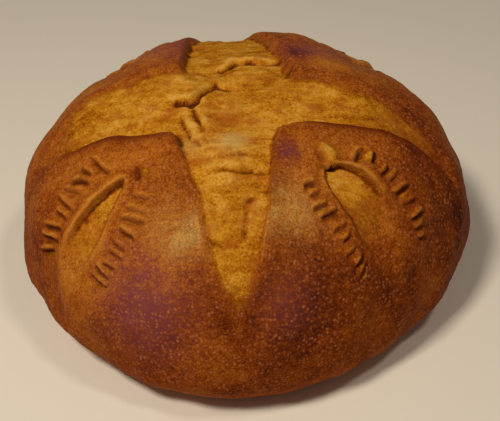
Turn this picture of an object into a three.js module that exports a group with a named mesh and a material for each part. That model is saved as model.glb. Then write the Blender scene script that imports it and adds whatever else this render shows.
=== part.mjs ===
// A round sourdough loaf: a domed boule whose crust was scored with a cross that opened wide as it
// baked, and with an ear of wheat on each of the four petals that the cross leaves.
// Millimetres, +Z up. The flat base lies on z = 0 and the origin is under the middle of the loaf.
//
// Every feature is laid out on the crust chart: a flat map of the crust on which a point's distance
// from the centre is its way down the dome from the top, and its bearing is its bearing in plan.
// +X is to the right and +Y to the back as one stands in front of the loaf.
import * as THREE from "three";
import { mergeGeometries, mergeVertices } from "three/addons/utils/BufferGeometryUtils.js";

const { clamp, degToRad, lerp, radToDeg, smoothstep } = THREE.MathUtils;

// Body
const LOAF_RADIUS = 125;
const DOME_HEIGHT = 118;
const BELLY_HEIGHT = 28;
const BASE_RADIUS = 99;
// 2 is an ellipse, more is a fuller shoulder
const DOME_FULLNESS = 2.38;
// Hand shaping leaves the plan uneven: so many lobes, their share of the radius, one lobe's bearing
const PLAN_LOBES = [
  { count: 2, share: 0.0077, bearing: 65 },
  { count: 3, share: 0.0143, bearing: -14 },
  { count: 4, share: 0.0188, bearing: -1 },
];
// Gentle swells of the dough: height, wavelength and bearing
const SWELLS = [
  { height: 0.7, wavelength: 47, bearing: 20 },
  { height: 0.6, wavelength: 61, bearing: 95 },
  { height: 0.4, wavelength: 33, bearing: 150 },
];
// Broad hollows where the dough sank: place, depth and spread
const HOLLOWS = [
  { place: [-72, 67], depth: 4.5, spread: 16 },
  { place: [75, 64], depth: 3.6, spread: 13 },
  { place: [-8, 72], depth: 4, spread: 24 },
];
// Relief dies out on the tuck under the belly, so that the base stays flat and round. Both are ways
// up from the rim of the base.
const RELIEF_START = 42;
const RELIEF_END = 14;

// Cross score. A pair is for an arm's left and right side, as seen by one who walks out along it.
// At its root an arm is wider by the flare. The floor lies so deep, the crust's edge is lifted by the
// lip, and it curls down over the shoulder.
const CROSS_ARMS = [
  // Front
  { origin: [-1.7, -10], heading: -91.6, reach: 132, halfWidth: 19.2, taper: 3.5, bend: 2.3,
    flare: [2.5, 24.3], depth: [3.6, 3], lip: [1.6, 0.6], shoulder: [1, 2.5] },
  // Left
  { origin: [-7, -14], heading: 172, reach: 114, halfWidth: 29.5, taper: 3.8, bend: 28,
    flare: [0, 0], depth: [7, 2], lip: [2.2, 0.2], shoulder: [0.5, 6] },
  // Right
  { origin: [-7, -16], heading: 5, reach: 150, halfWidth: 26.4, taper: 1.55, bend: -66,
    flare: [0, 0], depth: [2, 6.5], lip: [0.2, 2], shoulder: [6, 0.5] },
  // Back
  { origin: [0, -10], heading: 96, reach: 160, halfWidth: 31, taper: 2.4, bend: 0,
    flare: [0, 0], depth: [8, 8], lip: [0.2, 0.2], shoulder: [2, 4] },
];
const BEND_POWER = 4;
const FLARE_REACH = 64;
const WALL_RUN = 2.6;
const LIP_SPREAD = 9;
const CORNER_ROUND = 0.8;
const ARM_BLEND = 6;
// Ears end and tears begin this far outside the cross's edge
const CRUMB_EDGE = 1;

// Ears of wheat, one on each petal: a leaf-shaped slash with a lifted lip, and a row of snips along
// each side. A pair is for the left and right side. The smaller its skew, the nearer to its start a slash
// is widest. The lip is on the left, 1, or on the right, -1, and reaches over a share of the slash. A row
// starts so far along the ear and goes on at a pitch. Its snips lie so far off the slash's line, the first
// one closer by the gathered share, and are so long. A snip's lean is its turn from the slash, at the
// first and the last one.
const BACK_ROW = { start: 8, pitch: 6.4, offset: 23, gather: 0.35, length: 12, leans: [115, 80] };
const EARS = [
  // Front left
  { start: [-56.5, -62.5], heading: 218, length: 85, halfWidths: [9, 9], skew: 0.9,
    lipSide: -1, lipReach: 0.6,
    rows: [
      { start: 1, pitch: 5.7, offset: 22, gather: 0.45, length: 14.5, leans: [128, 86] },
      { start: 3.8, pitch: 6.35, offset: 24, gather: 0.25, length: 16, leans: [82, 74] },
    ],
    seed: 11 },
  // Front right
  { start: [43, -62], heading: -47, length: 85, halfWidths: [18, 9.3], skew: 0.6,
    lipSide: 1, lipReach: 0.38,
    rows: [
      { start: 2, pitch: 6.7, offset: 29.8, gather: 0.35, length: 10.5, leans: [124, 76] },
      { start: 0.5, pitch: 6.3, offset: 18.2, gather: 0.25, length: 8.5, leans: [132, 68] },
    ],
    seed: 12 },
  // Back left
  { start: [-57, 69], heading: 127, length: 72, halfWidths: [9, 9], skew: 0.9,
    lipSide: 1, lipReach: 0.6, rows: [BACK_ROW, BACK_ROW], seed: 13 },
  // Back right
  { start: [63, 66], heading: 52, length: 72, halfWidths: [9, 9], skew: 0.9,
    lipSide: -1, lipReach: 0.6, rows: [BACK_ROW, BACK_ROW], seed: 14 },
];
const LEAF_ROUND = 0.8;
const SLASH_DEPTH = 2.2;
// The floor is deepest up to the first share of the slash and level with the crust from the second on
const SLASH_FLOOR_FADE = [0.1, 0.8];
const SLASH_WALL = 1.8;
// Past the lip the wall under it runs out so much wider
const SLASH_RUN_OUT = 5;
const SLASH_RUN_OUT_SPAN = [-0.1, 0.15];
const SLASH_LIP = 2;
const SLASH_LIP_SPREAD = 4.5;
const SLASH_LIP_FADE = [-0.25, 0.1];
// The other side's lip, as a share of the lip
const SLASH_LOW_LIP = 0.3;
const SLASH_END_SPREAD = 3;
// Over these ways about the slash's line one side goes over into the other
const SIDE_BLEND = 3;
const LIP_BLEND = 2;

// Snips, each a saw tooth across its slit: a lifted flap, a sheer drop, and a floor that climbs back
const SNIP_COUNT = 9;
const SNIP_RUN = 3.4;
const SNIP_LEAST_RUN = 0.3;
const SNIP_DEPTH = 2.2;
const SNIP_FLAP = 1.6;
const SNIP_FLAP_BACK = 1.5;
const SNIP_FLAP_SPREAD = 1.8;
const SNIP_DROP = 0.6;
const SNIP_TAPER_POWER = 4;
const SNIP_GATHER_POWER = 6;
// Cut by hand, snips stray in lean, in degrees, in pitch, offset, length and strength
const SNIP_STRAY = { lean: 12, pitch: 0.25, offset: 1.5, length: 0.3, strength: 0.35 };
const SNIP_STRENGTH = 0.8;
const STRAY_KINDS = Object.keys(SNIP_STRAY);
const STRAY_TURN = 12.9898;
const STRAY_SCALE = 43758.5453;

// Tears and folds of the opened crumb: each is a step that is high on the left of its line
const TEARS = [
  { from: [-36, -8], to: [-26, -9], step: 2, reach: 9 },
  { from: [-26, -9], to: [-14, 8], step: 2.2, reach: 9 },
  { from: [-14, 8], to: [-5, 5], step: 1.8, reach: 8 },
  { from: [-13, 27], to: [-4, 34], step: 2.2, reach: 8 },
  { from: [-4, 34], to: [25, 40], step: 2.6, reach: 9 },
  { from: [-14, -53.5], to: [11, -52], step: 1.6, reach: 6 },
  { from: [-15, -62], to: [9, -61.5], step: 2, reach: 6 },
  { from: [-13, -71], to: [6, -70], step: 1.2, reach: 5 },
  { from: [-24, -15], to: [-18, -35], step: 2.2, reach: 7 },
  { from: [-30, -25], to: [-20, -46], step: 2, reach: 6 },
];
const TEAR_EDGE = 1.2;
// Past its ends a tear dies out over this share of its reach
const TEAR_END = 0.5;

// Mesh: an edge is split where the true surface leaves it by more than the sag
const FIRST_FAN = 6;
const LONGEST_EDGE = 14;
const SHORTEST_EDGE = 2;
const SAG = 0.34;
const SAG_STATIONS = [0.25, 0.5, 0.75];
const PROFILE_STEPS = 400;
const NORMAL_STEP = 0.4;
const MERGE_GAP = 1e-3;
const MOST_VERTICES = 65536;

// The dome's half profile from the top to the rim of the base, as [way along it, radius, height]
function makeProfile() {
  const profile = [[0, 0, DOME_HEIGHT]];
  const power = 2 / DOME_FULLNESS;
  const add = (radius, height) => {
    const [way, lastRadius, lastHeight] = profile.at(-1);
    profile.push([way + Math.hypot(radius - lastRadius, height - lastHeight), radius, height]);
  };
  for (let i = 1; i <= PROFILE_STEPS; i++) {
    const turn = (i / PROFILE_STEPS) * (Math.PI / 2);
    const rise = Math.max(Math.cos(turn), 0) ** power;
    add(LOAF_RADIUS * Math.sin(turn) ** power, BELLY_HEIGHT + (DOME_HEIGHT - BELLY_HEIGHT) * rise);
  }
  for (let i = 1; i <= PROFILE_STEPS; i++) {
    const turn = (i / PROFILE_STEPS) * (Math.PI / 2);
    const tuck = BASE_RADIUS + (LOAF_RADIUS - BASE_RADIUS) * Math.cos(turn);
    add(tuck, BELLY_HEIGHT * (1 - Math.sin(turn)));
  }
  profile.at(-1)[2] = 0;
  return profile;
}

const PROFILE = makeProfile();
const CHART_RADIUS = PROFILE.at(-1)[0];

function profileAt(way) {
  let low = 0;
  let high = PROFILE.length - 1;
  while (high - low > 1) {
    const middle = (low + high) >> 1;
    if (PROFILE[middle][0] <= way) low = middle;
    else high = middle;
  }
  const share = clamp((way - PROFILE[low][0]) / (PROFILE[high][0] - PROFILE[low][0]), 0, 1);
  return [1, 2].map((column) => lerp(PROFILE[low][column], PROFILE[high][column], share));
}

function planFactor(bearing) {
  const lobe = ({ count, share, bearing: first }) => share * Math.cos(count * (bearing - degToRad(first)));
  return PLAN_LOBES.reduce((sum, wave) => sum + lobe(wave), 1);
}

// The bare dome over a point of the chart, before any score
function bareDome(x, y) {
  const bearing = Math.atan2(y, x);
  const [radius, height] = profileAt(Math.hypot(x, y));
  const wide = radius * planFactor(bearing);
  return new THREE.Vector3(wide * Math.cos(bearing), wide * Math.sin(bearing), height);
}

function bareNormal(x, y) {
  const alongX = bareDome(x + NORMAL_STEP, y).sub(bareDome(x - NORMAL_STEP, y));
  const alongY = bareDome(x, y + NORMAL_STEP).sub(bareDome(x, y - NORMAL_STEP));
  return alongX.cross(alongY).normalize();
}

const bell = (distance, spread) => Math.exp(-((distance / spread) ** 2));

// A point in the frame of a line that starts at an origin and runs along a heading: [along, left]
function inFrame(x, y, [originX, originY], heading) {
  const turn = degToRad(heading);
  const [dx, dy] = [x - originX, y - originY];
  return [dx * Math.cos(turn) + dy * Math.sin(turn), dy * Math.cos(turn) - dx * Math.sin(turn)];
}

// The dough's own unevenness: its swells, less its hollows
function swelling(x, y) {
  const waves = SWELLS.map(({ height, wavelength, bearing }) => {
    const [along] = inFrame(x, y, [0, 0], bearing);
    return height * Math.sin((2 * Math.PI * along) / wavelength);
  });
  const dips = HOLLOWS.map(({ place, depth, spread }) => {
    return -depth * bell(Math.hypot(x - place[0], y - place[1]), spread);
  });
  return [...waves, ...dips].reduce((sum, part) => sum + part);
}

// How far a point is inside one arm of the cross (negative outside), and what the arm is there
function armAt(arm, x, y) {
  const [along, left] = inFrame(x, y, arm.origin, arm.heading);
  const share = Math.max(along, 0) / arm.reach;
  const off = left - arm.bend * share ** BEND_POWER;
  const tapered = arm.halfWidth * (1 - share ** arm.taper);
  const toRight = 0.5 - 0.5 * clamp(off / Math.max(tapered, ARM_BLEND), -1, 1);
  const flared = lerp(...arm.flare, toRight) * Math.max(1 - Math.abs(along) / FLARE_REACH, 0);
  const inside = tapered + flared - (along > 0 ? Math.abs(off) : Math.hypot(along, off));
  const fade = Math.sqrt(clamp(1 - share, 0, 1));
  return {
    inside,
    depth: fade * lerp(...arm.depth, toRight),
    lip: fade * lerp(...arm.lip, toRight),
    shoulder: lerp(...arm.shoulder, toRight),
  };
}

// The opened cross: a floor below the petals, with the petals' edges lifted round it
function crossRelief(x, y) {
  const arms = CROSS_ARMS.map((arm) => armAt(arm, x, y));
  const roundedMax = (a, b) => (a + b + Math.hypot(a - b, CORNER_ROUND)) / 2;
  const inside = arms.map((arm) => arm.inside).reduce(roundedMax);
  const weights = arms.map((arm) => Math.exp((arm.inside - inside) / ARM_BLEND));
  const total = weights.reduce((sum, weight) => sum + weight, 0);
  const mixed = (key) => arms.reduce((sum, arm, i) => sum + (weights[i] / total) * arm[key], 0);
  const open = smoothstep(inside, -mixed("shoulder"), WALL_RUN);
  const lip = mixed("lip") * bell(Math.min(inside, 0), LIP_SPREAD);
  return { inside, relief: lerp(lip, -mixed("depth"), open) };
}

function tearRelief({ from, to, step, reach }, x, y) {
  const length = Math.hypot(to[0] - from[0], to[1] - from[1]);
  const heading = radToDeg(Math.atan2(to[1] - from[1], to[0] - from[0]));
  const [along, left] = inFrame(x, y, from, heading);
  const past = Math.max(-along, along - length, 0);
  return (step / 2) * Math.tanh(left / TEAR_EDGE) * bell(left, reach) * bell(past, reach * TEAR_END);
}

// A number's own stray, from -1 to 1: the broken part of a large multiple of its sine
function wander(number) {
  const large = Math.sin(STRAY_TURN * number) * STRAY_SCALE;
  return 2 * (large - Math.floor(large)) - 1;
}

// An ear's snips in the ear's own frame: the side of each, its middle, lean, length and strength
function makeSnips(ear) {
  const column = (row, side) => {
    const first = SNIP_COUNT * (2 * ear.seed + (side > 0 ? 0 : 1));
    return Array.from({ length: SNIP_COUNT }, (_, i) => {
      const step = i / (SNIP_COUNT - 1);
      const stray = (kind) => {
        const number = STRAY_KINDS.length * (first + i) + STRAY_KINDS.indexOf(kind);
        return SNIP_STRAY[kind] * wander(number);
      };
      const gathered = row.offset * (1 - row.gather * (1 - step) ** SNIP_GATHER_POWER);
      return {
        side,
        middle: [row.start + row.pitch * (i + stray("pitch")), side * (gathered + stray("offset"))],
        lean: side * (lerp(...row.leans, step) + stray("lean")),
        length: row.length * (1 + stray("length")),
        strength: SNIP_STRENGTH + stray("strength"),
      };
    });
  };
  const [leftRow, rightRow] = ear.rows;
  return [...column(leftRow, 1), ...column(rightRow, -1)];
}

const SNIPS = EARS.map(makeSnips);

function snipRelief({ side, middle, lean, length, strength }, along, left) {
  const [slit, slitLeft] = inFrame(along, left, middle, lean);
  const across = -side * slitLeft;
  const taper = clamp(1 - Math.abs((2 * slit) / length) ** SNIP_TAPER_POWER, 0, 1);
  const run = SNIP_RUN * Math.sqrt(taper) + SNIP_LEAST_RUN;
  const drop = smoothstep(across, -SNIP_DROP, SNIP_DROP);
  const floor = SNIP_DEPTH * drop * clamp(1 - across / run, 0, 1);
  const flap = SNIP_FLAP * (1 - drop) * bell(across + SNIP_FLAP_BACK, SNIP_FLAP_SPREAD);
  return strength * taper * (flap - floor);
}

function slashRelief(ear, along, left) {
  const share = clamp(along / ear.length, 0, 1);
  const past = Math.max(-along, along - ear.length, 0);
  const leaf = Math.max(Math.sin(Math.PI * share ** ear.skew), 0) ** LEAF_ROUND;
  const halfWidth = lerp(ear.halfWidths[1], ear.halfWidths[0], smoothstep(left, -SIDE_BLEND, SIDE_BLEND));
  const inside = halfWidth * leaf - Math.abs(left) - past;
  const onLip = smoothstep(left * ear.lipSide, -LIP_BLEND, LIP_BLEND);
  const [runOutStart, runOutEnd] = SLASH_RUN_OUT_SPAN.map((share) => ear.lipReach + share);
  const runOut = onLip * smoothstep(share, runOutStart, runOutEnd);
  const open = smoothstep(inside, 0, SLASH_WALL * (1 + SLASH_RUN_OUT * runOut));
  const [lipFadeStart, lipFadeEnd] = SLASH_LIP_FADE.map((share) => ear.lipReach + share);
  const lifted = (1 - smoothstep(share, lipFadeStart, lipFadeEnd)) * bell(past, SLASH_END_SPREAD);
  const lipHeight = SLASH_LIP * lerp(SLASH_LOW_LIP, 1, onLip) * lifted;
  const lip = lipHeight * bell(Math.min(inside, 0), SLASH_LIP_SPREAD);
  const depth = SLASH_DEPTH * (1 - smoothstep(share, ...SLASH_FLOOR_FADE));
  return lerp(lip, -depth, open);
}

function earRelief(ear, snips, x, y) {
  const [along, left] = inFrame(x, y, ear.start, ear.heading);
  const margin = Math.max(...ear.rows.map((row) => row.offset + row.length));
  if (Math.abs(left) > margin || along < -margin || along > ear.length + margin) return 0;
  const relief = slashRelief(ear, along, left);
  return snips.reduce((sum, snip) => sum + snipRelief(snip, along, left), relief);
}

function reliefAt(x, y) {
  const cross = crossRelief(x, y);
  const crumb = smoothstep(cross.inside, -CRUMB_EDGE, WALL_RUN);
  const ears = crumb < 1 ? EARS.map((ear, i) => (1 - crumb) * earRelief(ear, SNIPS[i], x, y)) : [];
  const tears = crumb > 0 ? TEARS.map((tear) => crumb * tearRelief(tear, x, y)) : [];
  const relief = [cross.relief, ...ears, ...tears].reduce((sum, part) => sum + part, swelling(x, y));
  const upFromRim = CHART_RADIUS - Math.hypot(x, y);
  return relief * smoothstep(upFromRim, RELIEF_END, RELIEF_START);
}

function crustPoint(x, y) {
  return bareDome(x, y).addScaledVector(bareNormal(x, y), reliefAt(x, y));
}

// A point of the mesh: its place on the chart and on the crust
function makeVertex(x, y) {
  const onRim = Math.hypot(x, y) > CHART_RADIUS - MERGE_GAP;
  return { x, y, onRim, place: onRim ? bareDome(x, y) : crustPoint(x, y) };
}

// The middle of an edge. An edge along the rim of the chart has its middle on the rim.
function makeMiddle(a, b) {
  const middle = new THREE.Vector2((a.x + b.x) / 2, (a.y + b.y) / 2);
  if (a.onRim && b.onRim) middle.setLength(CHART_RADIUS);
  return makeVertex(middle.x, middle.y);
}

const chartGap = (a, b) => Math.hypot(a.x - b.x, a.y - b.y);

function needsSplit(a, b) {
  const length = chartGap(a, b);
  if (length > LONGEST_EDGE) return true;
  if (length < 2 * SHORTEST_EDGE) return false;
  return SAG_STATIONS.some((share) => {
    const chord = a.place.clone().lerp(b.place, share);
    return crustPoint(lerp(a.x, b.x, share), lerp(a.y, b.y, share)).distanceTo(chord) > SAG;
  });
}

const edgeKey = (i, j) => Math.min(i, j) * MOST_VERTICES + Math.max(i, j);
const edgesOf = ([a, b, c]) => [[a, b], [b, c], [c, a]];

// The edges to split. With any edge of a triangle its longest one is split too, so that no triangle
// gets thinner and thinner.
function markEdges(vertices, triangles, judged) {
  const marked = new Set();
  const lengthOf = ([i, j]) => chartGap(vertices[i], vertices[j]);
  for (const [i, j] of triangles.flatMap(edgesOf)) {
    const key = edgeKey(i, j);
    if (!judged.has(key)) judged.set(key, needsSplit(vertices[i], vertices[j]));
    if (judged.get(key)) marked.add(key);
  }
  let before = -1;
  while (marked.size > before) {
    before = marked.size;
    for (const edges of triangles.map(edgesOf)) {
      if (!edges.some(([i, j]) => marked.has(edgeKey(i, j)))) continue;
      const [i, j] = edges.reduce((a, b) => (lengthOf(b) > lengthOf(a) ? b : a));
      marked.add(edgeKey(i, j));
    }
  }
  return marked;
}

// One triangle, cut at the middles of its marked edges. Of the four-sided rest that two cuts leave,
// the shorter diagonal is taken.
function cutTriangle(vertices, corners, middles) {
  const [first] = [0, 1, 2].filter((k) => middles[k] === null && middles[(k + 1) % 3] !== null);
  if (first === undefined) {
    if (middles[0] === null) return [corners];
    const [a, b, c] = corners;
    const [ab, bc, ca] = middles;
    return [[a, ab, ca], [ab, b, bc], [ca, bc, c], [ab, bc, ca]];
  }
  // Turned so that c to a is whole and a to b is cut
  const [c, a, b] = [0, 1, 2].map((k) => corners[(first + k) % 3]);
  const [ab, bc] = [1, 2].map((k) => middles[(first + k) % 3]);
  if (bc === null) return [[a, ab, c], [ab, b, c]];
  const gap = (i, j) => chartGap(vertices[i], vertices[j]);
  const rest = gap(ab, c) < gap(a, bc) ? [[a, ab, c], [ab, bc, c]] : [[a, ab, bc], [a, bc, c]];
  return [[ab, b, bc], ...rest];
}

// Splits the triangles of a chart until no edge needs it. An edge is judged by its own two ends, so
// the triangles on both its sides agree and no gap opens between them.
function refine(vertices, triangles) {
  const judged = new Map();
  for (;;) {
    const marked = markEdges(vertices, triangles, judged);
    if (!marked.size) return triangles;
    const made = new Map();
    const middleOf = ([i, j]) => {
      const key = edgeKey(i, j);
      if (!marked.has(key)) return null;
      if (!made.has(key)) made.set(key, vertices.push(makeMiddle(vertices[i], vertices[j])) - 1);
      return made.get(key);
    };
    const cut = (corners) => cutTriangle(vertices, corners, edgesOf(corners).map(middleOf));
    triangles = triangles.flatMap(cut);
  }
}

function geometryOf(places, triangles) {
  const geometry = new THREE.BufferGeometry().setFromPoints(places);
  return geometry.setIndex(triangles.flat());
}

// The crust starts as a fan of equal triangles over the whole chart
function makeCrust() {
  const fan = new THREE.CircleGeometry(CHART_RADIUS, FIRST_FAN);
  const corners = mergeVertices(fan.deleteAttribute("normal").deleteAttribute("uv"), MERGE_GAP);
  const position = corners.getAttribute("position");
  const vertexAt = (_, i) => makeVertex(position.getX(i), position.getY(i));
  const vertices = Array.from({ length: position.count }, vertexAt);
  const indices = Array.from(corners.index.array);
  const triangles = indices.flatMap((_, i) => (i % 3 ? [] : [indices.slice(i, i + 3)]));
  return { vertices, triangles: refine(vertices, triangles) };
}

// The flat base is a fan of triangles round its middle, under the rim of the crust
function makeBase(vertices) {
  const rim = vertices.filter((vertex) => vertex.onRim);
  rim.sort((a, b) => Math.atan2(a.y, a.x) - Math.atan2(b.y, b.x));
  const places = [new THREE.Vector3(), ...rim.map((vertex) => vertex.place)];
  return geometryOf(places, rim.map((_, i) => [0, ((i + 1) % rim.length) + 1, i + 1]));
}

function makeLoaf() {
  const { vertices, triangles } = makeCrust();
  const crust = geometryOf(vertices.map((vertex) => vertex.place), triangles);
  const solid = mergeVertices(mergeGeometries([crust, makeBase(vertices)]), MERGE_GAP);
  solid.computeBoundingBox();
  const middle = solid.boundingBox.getCenter(new THREE.Vector3());
  solid.translate(-middle.x, -middle.y, 0);
  solid.computeVertexNormals();
  const bakedCrust = new THREE.MeshStandardMaterial({ color: "#a35a24", roughness: 0.55, metalness: 0 });
  const loaf = new THREE.Mesh(solid, bakedCrust);
  loaf.name = "loaf";
  return loaf;
}

const sourdough = new THREE.Group();
sourdough.add(makeLoaf());

export default sourdough;
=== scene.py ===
"""A round sourdough loaf, dressed for the eye.

Crust and crumb are one closed surface. It is laid out on the crust chart, a flat map on which a
point's distance from the centre is its way down the dome from the top, and its bearing is its
bearing in plan: +X to the right and +Y to the back. Sizes of the loaf are in millimetres, and
become metres where a mesh is made.
"""
import logging
import math
from dataclasses import dataclass
from enum import Enum
from functools import cached_property, partial, reduce
from typing import Any, NamedTuple

import bpy
import numpy as np
from mathutils import Matrix, Vector


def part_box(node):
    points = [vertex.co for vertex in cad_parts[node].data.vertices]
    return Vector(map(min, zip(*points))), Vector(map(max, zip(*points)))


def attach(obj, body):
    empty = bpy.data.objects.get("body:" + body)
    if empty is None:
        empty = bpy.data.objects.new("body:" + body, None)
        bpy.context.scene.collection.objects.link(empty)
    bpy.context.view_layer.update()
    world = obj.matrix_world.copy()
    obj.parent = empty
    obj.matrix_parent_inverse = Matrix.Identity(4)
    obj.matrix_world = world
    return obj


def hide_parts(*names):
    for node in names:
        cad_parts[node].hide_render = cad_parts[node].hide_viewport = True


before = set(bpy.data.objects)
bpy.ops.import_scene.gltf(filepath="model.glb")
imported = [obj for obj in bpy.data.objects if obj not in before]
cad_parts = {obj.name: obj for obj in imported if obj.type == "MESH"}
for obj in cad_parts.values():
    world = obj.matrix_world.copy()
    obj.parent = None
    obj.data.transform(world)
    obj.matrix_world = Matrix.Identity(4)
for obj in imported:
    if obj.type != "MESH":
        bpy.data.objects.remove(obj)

LOG = logging.getLogger("sourdough")
MM = 0.001
STRAY_TURN = 12.9898
STRAY_SPAN = 43758.5453
Array = np.ndarray
Pair = tuple[float, float]
Triple = tuple[float, float, float]
Limits = tuple[float, float, float, float]
Stops = tuple[tuple[float, str], ...]


def smooth_step(value: Array, low: Array | float, high: Array | float) -> Array:
    """Rises from 0 at low to 1 at high along a cubic with level ends.

    Args:
        value: Where to read the step.
        low: Value below which the step is 0.
        high: Value above which the step is 1.

    Returns:
        The step, 3 t^2 - 2 t^3 of the share t of the way from low to high.
    """
    share = np.clip((value - low) / (high - low), 0.0, 1.0)
    return share * share * (3.0 - 2.0 * share)


def bell(distance: Array, spread: float) -> Array:
    """Gives a bell curve, e to the minus square of distance over spread."""
    return np.exp(-((distance / spread) ** 2))


def mix(first: Array, second: Array, share: Array) -> Array:
    """Goes in a straight line from first to second as share goes from 0 to 1."""
    return first + (second - first) * share


def in_frame(x: Array, y: Array, origin: Pair, heading: float) -> tuple[Array, Array]:
    """Reads points in the frame of a line.

    Args:
        x: Points' X on the chart.
        y: Points' Y on the chart.
        origin: Where the line starts.
        heading: The line's bearing in degrees, anticlockwise from +X.

    Returns:
        How far each point lies along the line, and how far to its left.
    """
    turn = math.radians(heading)
    dx, dy = x - origin[0], y - origin[1]
    along = dx * math.cos(turn) + dy * math.sin(turn)
    left = dy * math.cos(turn) - dx * math.sin(turn)
    return along, left


def past_ends(along: Array, length: float) -> Array:
    """Gives how far points lie past either end of a line of this length, and 0 beside it."""
    return np.maximum(np.maximum(-along, along - length), 0.0)


def by_line(x: Array, y: Array, start: Pair, end: Pair) -> tuple[Array, Array]:
    """Reads points by a line between two points.

    Args:
        x: Points' X on the chart.
        y: Points' Y on the chart.
        start: Where the line starts.
        end: Where it ends.

    Returns:
        How far each point lies to the line's left, and how far past its ends.
    """
    dx, dy = end[0] - start[0], end[1] - start[1]
    along, left = in_frame(x, y, start, math.degrees(math.atan2(dy, dx)))
    return left, past_ends(along, math.hypot(dx, dy))


def lattice_noise(x: Array, y: Array, cell: float, seed: int, side: int = 256) -> Array:
    """Makes smooth random hills.

    Random heights sit on the corners of square cells, and a point takes the heights of its four
    corners, blended along the curve 6 t^5 - 15 t^4 + 10 t^3 of its place t in the cell.

    Args:
        x: Points' X.
        y: Points' Y.
        cell: Side of a cell, about half the distance between two hills.
        seed: Picks the heights.
        side: How many cells lie side by side before the hills repeat.

    Returns:
        The hills' heights, from -1 to 1.
    """
    heights = np.random.default_rng(seed).uniform(-1.0, 1.0, (side, side))
    column, row = np.floor(x / cell), np.floor(y / cell)
    tx, ty = x / cell - column, y / cell - row
    sx, sy = (t**3 * (t * (6.0 * t - 15.0) + 10.0) for t in (tx, ty))
    i, j = column.astype(int), row.astype(int)
    corner = [[heights[(i + di) % side, (j + dj) % side] for dj in (0, 1)] for di in (0, 1)]
    near = mix(corner[0][0], corner[0][1], sy)
    far = mix(corner[1][0], corner[1][1], sy)
    return mix(near, far, sx)


class Hills(NamedTuple):
    """Layered random hills: their height, the side of their widest cells, their seed, their layers."""

    height: float
    cell: float
    seed: int
    layers: int = 3

    def read(self, x: Array, y: Array) -> Array:
        """Adds up the layers, each half as wide and half as high as the one before."""
        layers = ((0.5**k, self.seed + k) for k in range(self.layers))
        return self.height * sum(s * lattice_noise(x, y, self.cell * s, seed) for s, seed in layers)


def wander(number: int) -> float:
    """Gives a number's own stray, from -1 to 1: the broken part of a large multiple of its sine."""
    return 2.0 * ((math.sin(STRAY_TURN * number) * STRAY_SPAN) % 1.0) - 1.0


class Side(Enum):
    """A side of a cut, as seen by one who walks along it."""

    LEFT = 1
    RIGHT = -1


class Lobe(NamedTuple):
    """A wave of the loaf's plan: how many lobes, their share of the radius, one lobe's bearing."""

    count: int
    share: float
    bearing: float

    def read(self, bearing: Array) -> Array:
        """Gives the wave, a cosine of the bearing."""
        return self.share * np.cos(self.count * (bearing - math.radians(self.bearing)))


class Swell(NamedTuple):
    """A gentle wave of the dough: its height, its wavelength and its bearing."""

    height: float
    wavelength: float
    bearing: float

    def read(self, x: Array, y: Array) -> Array:
        """Gives the wave, a sine along its bearing."""
        along = in_frame(x, y, (0.0, 0.0), self.bearing)[0]
        return self.height * np.sin(2.0 * math.pi * along / self.wavelength)


class Spot(NamedTuple):
    """A soft round spot on the chart: its place, its spread and its strength."""

    place: Pair
    spread: float
    strength: float

    def read(self, x: Array, y: Array) -> Array:
        """Gives the spot, a bell curve of the distance from its place."""
        return self.strength * bell(np.hypot(x - self.place[0], y - self.place[1]), self.spread)


Spots = tuple[Spot, ...]


def read_spots(spots: Spots, x: Array, y: Array) -> Array:
    """Adds up spots at chart points."""
    return sum(spot.read(x, y) for spot in spots)


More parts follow.
